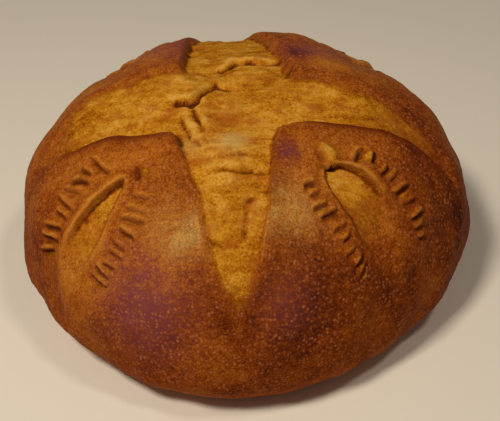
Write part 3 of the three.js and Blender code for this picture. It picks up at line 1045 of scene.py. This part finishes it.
@dataclass(frozen=True)
class Loaf:
    """The whole loaf: the bare dome with its cross, its ears of wheat and the tears of its crumb.

    Spots colour it: darker and paler crust, with painted shade on the right side, mauve crust, partly a
    painted reflection, paler (above 0, where one is a painted highlight) and redder (below 0) crumb,
    lighter gold, one of them a painted highlight, painted shade in pits, shine and bared crumb. A pair of
    limits is the two heights, or the two ways inside a cut, between which something changes.
    """

    dome: Dome = Dome()
    cross: CrossScore = CrossScore()
    ears: tuple[WheatEar, ...] = (
        WheatEar(
            start=(-56.5, -62.5), heading=218.0, length=85.0, half_widths=(9.0, 9.0), skew=0.9,
            lip_side=Side.RIGHT, lip_reach=0.6, crumb_reach=0.55, seed=11,
            rows=(
                SnipRow(1.0, 5.7, 22.0, 0.45, 14.5, (128.0, 86.0)),
                SnipRow(3.8, 6.35, 24.0, 0.25, 16.0, (82.0, 74.0)),
            ),
        ),
        WheatEar(
            start=(43.0, -62.0), heading=-47.0, length=85.0, half_widths=(18.0, 9.3), skew=0.6,
            lip_side=Side.LEFT, lip_reach=0.38, crumb_reach=0.4, seed=12, bareness=1.0,
            rows=(
                SnipRow(2.0, 6.7, 29.8, 0.35, 10.5, (124.0, 76.0)),
                SnipRow(0.5, 6.3, 18.2, 0.25, 8.5, (132.0, 68.0)),
            ),
        ),
        WheatEar(
            start=(-57.0, 69.0), heading=127.0, length=72.0, half_widths=(9.0, 9.0), skew=0.9,
            lip_side=Side.LEFT, lip_reach=0.6, crumb_reach=0.55, seed=13, rows=(BACK_ROW, BACK_ROW),
        ),
        WheatEar(
            start=(63.0, 66.0), heading=52.0, length=72.0, half_widths=(9.0, 9.0), skew=0.9,
            lip_side=Side.RIGHT, lip_reach=0.6, crumb_reach=0.55, seed=14, rows=(BACK_ROW, BACK_ROW),
        ),
    )
    tears: tuple[Tear, ...] = (
        Tear((-36.0, -8.0), (-26.0, -9.0), 2.0, 9.0),
        Tear((-26.0, -9.0), (-14.0, 8.0), 2.2, 9.0),
        Tear((-14.0, 8.0), (-5.0, 5.0), 1.8, 8.0),
        Tear((-13.0, 27.0), (-4.0, 34.0), 2.2, 8.0),
        Tear((-4.0, 34.0), (25.0, 40.0), 2.6, 9.0),
        Tear((-14.0, -53.5), (11.0, -52.0), 1.6, 6.0),
        Tear((-15.0, -62.0), (9.0, -61.5), 2.0, 6.0),
        Tear((-13.0, -71.0), (6.0, -70.0), 1.2, 5.0),
        Tear((-24.0, -15.0), (-18.0, -35.0), 2.2, 7.0),
        Tear((-30.0, -25.0), (-20.0, -46.0), 2.0, 6.0),
    )
    creases: tuple[Crease, ...] = (
        Crease(((-34.0, -9.5), (-27.0, -10.6), (-23.0, -8.4)), 3.0, 1.8),
        Crease(((-23.0, -8.4), (-18.4, -2.4), (-15.6, 3.0), (-13.6, 6.2), (-7.0, 4.0)), 1.7, 1.3),
        Crease(((-11.0, 27.0), (-4.0, 31.8), (6.0, 31.6), (17.0, 34.5), (24.0, 38.0)), 1.4, 1.3),
        Crease(((4.0, 31.8), (6.4, 32.2)), 3.0, 2.2),
        Crease(((-24.6, -15.0), (-23.6, -20.5), (-21.8, -27.0), (-18.6, -37.0)), 1.1, 1.4),
        Crease(((-30.5, -25.5), (-28.0, -34.0), (-25.0, -41.5), (-19.0, -47.0)), 0.9, 1.4),
        Crease(((-8.5, -63.0), (-2.0, -63.8), (4.5, -63.0)), 0.9, 1.1),
        Crease(((4.6, -79.0), (2.6, -83.0), (2.0, -88.0), (-0.2, -98.0)), 1.2, 1.5),
        Crease(((4.0, -80.0), (6.5, -79.0)), 1.0, 1.8),
        Crease(((-15.5, -79.0), (-13.5, -87.0), (-12.5, -95.0)), 0.8, 1.5),
        Crease(((-50.5, -61.5), (-51.3, -56.5)), 3.2, 1.8),
        Crease(((-46.5, -62.5), (-46.2, -57.5)), -1.2, 2.0),
        Crease(((42.5, -62.5), (48.5, -61.0)), 2.2, 1.8),
        Crease(((58.5, -53.0), (60.0, -49.0)), 2.2, 1.6),
        Crease(((41.0, -51.6), (46.0, -53.6)), -2.4, 4.0),
        Crease(((36.6, -52.5), (39.0, -57.0), (43.5, -60.0)), 1.6, 1.3),
        Crease(((64.0, -52.5), (65.0, -49.0)), -1.4, 2.6),
        Crease(((-84.5, -77.5), (-83.5, -77.0)), 1.0, 1.1),
    )
    # Uneven browning; the spots at (108, -50) and (92, 5) paint shade on the right side
    dark_and_shade_spots: Spots = (
        Spot((34.0, 41.0), 9.0, 0.45),
        Spot((34.0, -128.0), 26.0, 0.24),
        Spot((-24.0, -130.0), 16.0, 0.16),
        Spot((23.0, -55.0), 7.0, 0.26),
        Spot((108.0, -50.0), 30.0, 0.34),
        Spot((92.0, 5.0), 22.0, 0.2),
        Spot((-108.0, -62.0), 20.0, 0.16),
        Spot((-102.0, -102.0), 22.0, -0.4),
        Spot((124.0, -92.0), 18.0, -0.08),
        Spot((-38.0, -75.0), 15.0, 0.15),
        Spot((-31.0, -51.0), 10.0, -0.1),
        Spot((21.0, -90.0), 12.0, -0.1),
        Spot((50.0, -114.0), 20.0, 0.14),
        Spot((-10.0, -160.0), 25.0, -0.06),
    )
    # Mauve, partly the crust's own tone and partly a painted reflection
    mauve_and_reflection_spots: Spots = (
        Spot((-56.0, -127.0), 24.0, 1.0),
        Spot((24.0, -131.0), 15.0, 0.45),
        Spot((23.0, -55.0), 6.0, 0.6),
        Spot((-42.0, 62.0), 22.0, 0.8),
        Spot((40.0, 46.0), 14.0, 0.6),
        Spot((62.0, 56.0), 26.0, 0.4),
    )
    # Paler crumb where the tint is above 0: the spot at (-4.5, -43.5) is a painted highlight
    tint_and_highlight_spots: Spots = (
        Spot((-4.5, -43.5), 7.5, 1.25),
        Spot((-25.0, -46.0), 6.0, 0.5),
        Spot((-7.0, -26.0), 9.0, -1.0),
        Spot((4.0, -81.0), 4.0, -0.9),
        Spot((1.0, -91.0), 4.0, -0.8),
        Spot((-14.0, -84.0), 3.5, -0.6),
    )
    # Lighter gold; the spot at (-25, -32), on a fold's crown, is a painted highlight
    gilt_and_highlight_spots: Spots = (
        Spot((43.6, -52.0), 6.0, 0.25),
        Spot((54.0, -70.0), 13.0, 0.18),
        Spot((-66.0, -72.0), 8.0, 0.22),
        Spot((-25.0, -32.0), 5.0, 0.2),
        Spot((-3.0, -122.0), 16.0, -0.02),
    )
    # Painted shade in the crumb's pits
    pit_shade_spots: Spots = (
        Spot((-32.5, -9.4), 2.2, 0.9),
        Spot((-29.0, -10.0), 2.2, 0.9),
        Spot((-25.5, -10.0), 2.0, 0.7),
        Spot((5.0, 34.4), 2.4, 1.4),
    )
    gloss_spots: Spots = (Spot((-28.0, -93.0), 15.0, 1.0), Spot((21.0, -87.0), 15.0, 2.0))
    bared_spots: Spots = (
        Spot((42.4, -52.0), 4.6, 1.0),
        Spot((46.4, -55.4), 3.8, 0.8),
        Spot((65.4, -51.0), 3.6, 1.2),
        Spot((-46.8, -60.6), 3.2, 0.85),
    )
    grid: CrustGrid = CrustGrid()
    finish: BakedCrust = BakedCrust()
    relief_start: float = 42.0
    relief_end: float = 14.0
    rim_slack: float = 1e-6
    petal_edge: float = -1.0
    wobble_x: Hills = Hills(1.0, 16.0, 31)
    wobble_y: Hills = Hills(1.0, 16.0, 41)
    crags: Hills = Hills(0.55, 7.0, 51, 4)
    folds: Hills = Hills(0.55, 3.4, 55, 2)
    fold_stretch: float = 3.5
    fold_spot: Spot = Spot((-5.0, -52.0), 34.0, 1.0)
    pebbles: Hills = Hills(0.22, 5.0, 61, 2)
    # Crust darker towards the bottom and paler at the foot
    brown_base: float = 0.36
    low_darkening: float = 0.22
    low_limits: Pair = (45.0, 100.0)
    foot_lightening: float = -0.16
    foot_limits: Pair = (2.0, 22.0)
    brown_edge: float = 0.1
    edge_place: float = 5.0
    edge_spread: float = 5.0
    brown_drift: Hills = Hills(0.07, 26.0, 71)
    # Lips and flaps lighter: painted highlight
    ridge_lightening: float = -0.38
    soft_passes: int = 4
    # Crowns of the crumb lighter: painted light
    crown: float = 0.6
    crown_limits: Pair = (2.0, 9.0)
    gloss_base: float = 0.12
    gloss_limits: Pair = (50.0, 100.0)

    def read(self, x: Array, y: Array) -> CutReading:
        """Reads all the cuts at chart points, with edges that wander a little.

        Args:
            x: Points' X on the chart.
            y: Points' Y on the chart.

        Returns:
            The cuts' reading at each point.
        """
        x, y = x + self.wobble_x.read(x, y), y + self.wobble_y.read(x, y)
        cross = self.cross.read(x, y)
        ears = [ear.read(x, y) for ear in self.ears]
        opened = smooth_step(cross.inside, self.petal_edge, self.cross.wall_run)
        whole = 1.0 - opened
        folds = self.fold_spot.read(x, y) * self.folds.read(x / self.fold_stretch, y)
        floor = sum(tear.relief(x, y) for tear in self.tears) + self.crags.read(x, y) + folds
        petal = sum(ear.relief for ear in ears) + self.pebbles.read(x, y)
        relief = cross.relief + whole * petal + opened * floor
        relief = relief + sum(crease.relief(x, y) for crease in self.creases)
        inside = reduce(np.maximum, (ear.inside for ear in ears), cross.inside)
        marks = {
            name: reduce(np.maximum, (whole * getattr(ear, name) for ear in ears), getattr(cross, name))
            for name in ("crumb", "rim", "ridge_highlight", "lean")
        }
        return CutReading(relief=relief, inside=inside, **marks)

    def browning_and_shading(self, x: Array, y: Array, height: Array, cuts: CutReading) -> Array:
        """Says how dark the crust is baked, from 0, golden, to 1, nearly burnt, with painted shade and
        highlight.

        Args:
            x: Points' X on the chart.
            y: Points' Y on the chart.
            height: Points' height over the base.
            cuts: The cuts' reading at the points.

        Returns:
            The browning.
        """
        # Darker towards the bottom, paler at the foot
        low = 1.0 - smooth_step(height, *self.low_limits)
        foot = 1.0 - smooth_step(height, *self.foot_limits)
        edge = bell(cuts.inside + self.edge_place, self.edge_spread)
        drift = self.brown_drift.read(x, y)
        even = self.brown_base + self.low_darkening * low + self.foot_lightening * foot
        # Ridges of lips and flaps lighter: painted highlight; the dark spots on the right side: painted
        # shade
        uneven = self.brown_edge * edge + drift + self.ridge_lightening * cuts.ridge_highlight
        return even + uneven + read_spots(self.dark_and_shade_spots, x, y)

    def cavity_shade(self, relief: Array, inside: Array, pits: Array) -> Array:
        """Says how far points lie below their surroundings, the relief smoothed over the grid.

        Args:
            relief: The grid points' relief.
            inside: How far inside a cut each point lies.
            pits: How much painted shade the pits add there.

        Returns:
            The painted shade, 1 at most, and below 0 on crowns of the crumb, where it paints light.
        """
        soft = relief.copy()
        for _ in range(self.soft_passes):
            beside = soft[1:-1, :-2] + soft[1:-1, 2:]
            soft[1:-1, 1:-1] = (soft[:-2, 1:-1] + soft[2:, 1:-1] + beside) / 4.0
        crown = self.crown * smooth_step(inside, *self.crown_limits)
        return np.clip(soft - relief + pits, -crown, 1.0)

    def build(self) -> bpy.types.Object:
        """Builds the loaf's mesh: the crust over the grid, and a fan of faces for the flat base.

        A point stands on the dome, moved along the chart by the lean of a lip and then along the
        dome's normal by the relief, both of which die out before the rim of the base.

        Returns:
            The loaf's object, at the origin.
        """
        rim = self.dome.chart_radius
        x, y = self.grid.points(rim)
        down = np.hypot(x, y)
        cuts = self.read(x, y)
        step = self.dome.normal_step
        slope_x = (self.read(x + step, y).inside - self.read(x - step, y).inside) / (2.0 * step)
        slope_y = (self.read(x, y + step).inside - self.read(x, y - step).inside) / (2.0 * step)
        fade = 1.0 - smooth_step(down, rim - self.relief_start, rim - self.relief_end)
        lean = fade * cuts.lean
        relief = fade * (cuts.relief + self.dome.swelling(x, y))
        place = self.dome.place(x + lean * slope_x, y + lean * slope_y)
        place = place + relief[..., None] * self.dome.normal(x, y)
        place[down > rim - self.rim_slack, 2] = 0.0
        height = place[..., 2]
        gloss = self.gloss_base * smooth_step(height, *self.gloss_limits)
        marks = {
            "crumb": np.clip(read_spots(self.bared_spots, x, y), fade * cuts.crumb, 1.0),
            "rim": fade * cuts.rim,
            "browning_and_shading": self.browning_and_shading(x, y, height, cuts),
            "cavity_shade": self.cavity_shade(relief, cuts.inside, read_spots(self.pit_shade_spots, x, y)),
            "tint": read_spots(self.tint_and_highlight_spots, x, y),
            "gilt": read_spots(self.gilt_and_highlight_spots, x, y),
            "mauve": read_spots(self.mauve_and_reflection_spots, x, y),
            "gloss": gloss + read_spots(self.gloss_spots, x, y),
        }
        return self.make_object(place.reshape(-1, 3), {name: mark.ravel() for name, mark in marks.items()})

    def make_object(self, places: Array, marks: dict[str, Array]) -> bpy.types.Object:
        """Puts the crust and its base into a mesh.

        Args:
            places: The grid's points in millimetres, one a row, about the dome's own axis.
            marks: Attribute name to its value at each of those points.

        Returns:
            The object.
        """
        low, high = (np.array(corner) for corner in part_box("loaf"))
        middle = 0.5 * (places.min(axis=0) + places.max(axis=0)) * MM
        shift = 0.5 * (low + high) - middle
        shift[2] = 0.0
        rim = self.grid.rim()
        points = np.concatenate([places * MM, [[0.0, 0.0, 0.0]]]) + shift
        hub = np.full_like(rim, len(points) - 1)
        base = np.stack([hub, np.roll(rim, -1), rim], axis=1)
        quads = self.grid.quads()
        corners = np.concatenate([quads.ravel(), base.ravel()]).astype(np.int32)
        sizes = np.concatenate([np.full(len(quads), 4), np.full(len(base), 3)])
        starts = np.concatenate([[0], np.cumsum(sizes)[:-1]]).astype(np.int32)
        mesh = bpy.data.meshes.new("loaf_crust")
        mesh.vertices.add(len(points))
        mesh.vertices.foreach_set("co", points.astype(np.float32).ravel())
        mesh.loops.add(len(corners))
        mesh.loops.foreach_set("vertex_index", corners)
        mesh.polygons.add(len(sizes))
        mesh.polygons.foreach_set("loop_start", starts)
        mesh.update(calc_edges=True)
        mesh.validate()
        mesh.shade_smooth()
        for name, mark in marks.items():
            values = np.append(mark, mark[rim].mean()).astype(np.float32)
            mesh.attributes.new(name, "FLOAT", "POINT").data.foreach_set("value", values)
        loaf = bpy.data.objects.new("loaf_crust", mesh)
        bpy.context.scene.collection.objects.link(loaf)
        return loaf

    def dress(self, loaf: bpy.types.Object) -> None:
        """Gives the loaf its finish and its place in the frame.

        Args:
            loaf: The loaf's object.
        """
        loaf.data.materials.append(self.finish.material())
        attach(loaf, "root")
        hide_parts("loaf")


@dataclass(frozen=True)
class Softbox:
    """A square studio light: where it hangs, what it looks at, its side, its power and its colour."""

    name: str
    place: Triple
    target: Triple
    side: float
    power: float
    colour: str

    def build(self) -> None:
        """Hangs the light."""
        light = bpy.data.lights.new(self.name, "AREA")
        light.shape = "SQUARE"
        light.size = self.side
        light.energy = self.power
        light.color = to_linear(self.colour)[:3]
        lamp = bpy.data.objects.new(self.name, light)
        lamp.location = self.place
        lamp.rotation_euler = (Vector(self.target) - Vector(self.place)).to_track_quat("-Z", "Y").to_euler()
        bpy.context.scene.collection.objects.link(lamp)


@dataclass(frozen=True)
class Studio:
    """A plain pale floor, soft light from above and the camera. Lengths are in metres.

    The camera is set by the axis, the place on the floor where the dome's own axis stands.
    """

    axis: Pair
    floor_side: float = 6.0
    floor_colour: str = "#EFE8DC"
    floor_roughness: float = 0.8
    sky_colour: str = "#FFF4E6"
    sky_strength: float = 0.1
    lights: tuple[Softbox, ...] = (
        Softbox("key_softbox", (-0.36, -0.4, 0.96), (0.0, 0.0, 0.06), 0.18, 6.9, "#FFF3E0"),
        Softbox("second_softbox", (0.33, -0.22, 1.0), (0.0, 0.0, 0.06), 0.12, 1.6, "#FFF3E0"),
    )
    aim: Triple = (0.0036, -0.0057, 0.035)
    pitch: float = 40.0
    distance: float = 0.5157
    roll: float = -1.2
    sensor: float = 36.0
    lens: float = 64.4

    def build(self) -> None:
        """Sets up floor, light and camera."""
        self.lay_floor()
        self.light_sky()
        for light in self.lights:
            light.build()
        self.set_camera()
        bpy.context.scene.view_settings.view_transform = "Standard"

    def lay_floor(self) -> None:
        """Lays the floor."""
        half = 0.5 * self.floor_side
        corners = [(-half, -half, 0.0), (half, -half, 0.0), (half, half, 0.0), (-half, half, 0.0)]
        mesh = bpy.data.meshes.new("floor")
        mesh.from_pydata(corners, [], [(0, 1, 2, 3)])
        floor = bpy.data.objects.new("floor", mesh)
        bpy.context.scene.collection.objects.link(floor)
        matte = bpy.data.materials.new("matte_floor")
        matte.use_nodes = True
        shader = matte.node_tree.nodes["Principled BSDF"]
        shader.inputs["Base Color"].default_value = to_linear(self.floor_colour)
        shader.inputs["Roughness"].default_value = self.floor_roughness
        mesh.materials.append(matte)

    def light_sky(self) -> None:
        """Fills the studio with even light."""
        world = bpy.data.worlds.new("studio")
        world.use_nodes = True
        background = world.node_tree.nodes["Background"]
        background.inputs["Color"].default_value = to_linear(self.sky_colour)
        background.inputs["Strength"].default_value = self.sky_strength
        bpy.context.scene.world = world

    def set_camera(self) -> None:
        """Sets the camera in front of the loaf, looking down at it."""
        camera = bpy.data.cameras.new("camera")
        camera.sensor_width = self.sensor
        camera.lens = self.lens
        holder = bpy.data.objects.new("camera", camera)
        tilt = math.radians(90.0 - self.pitch)
        back = Vector((0.0, -math.sin(tilt), math.cos(tilt)))
        eye = Vector(self.aim) + Vector((*self.axis, 0.0)) + back * self.distance
        turn = Matrix.Rotation(tilt, 4, "X") @ Matrix.Rotation(math.radians(self.roll), 4, "Z")
        holder.matrix_world = Matrix.Translation(eye) @ turn
        bpy.context.scene.collection.objects.link(holder)
        bpy.context.scene.camera = holder


def main() -> None:
    """Builds the loaf and the studio, and notes the loaf's count of faces."""
    logging.basicConfig(level=logging.INFO, format="%(message)s")
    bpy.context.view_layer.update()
    loaf = Loaf()
    crust = loaf.build()
    loaf.dress(crust)
    hub = crust.data.vertices[-1].co
    LOG.info("%s: %d faces", crust.name, len(crust.data.polygons))
    Studio((hub.x, hub.y)).build()
    LOG.info("studio: floor, light and camera")


if __name__ == "__main__":
    main()
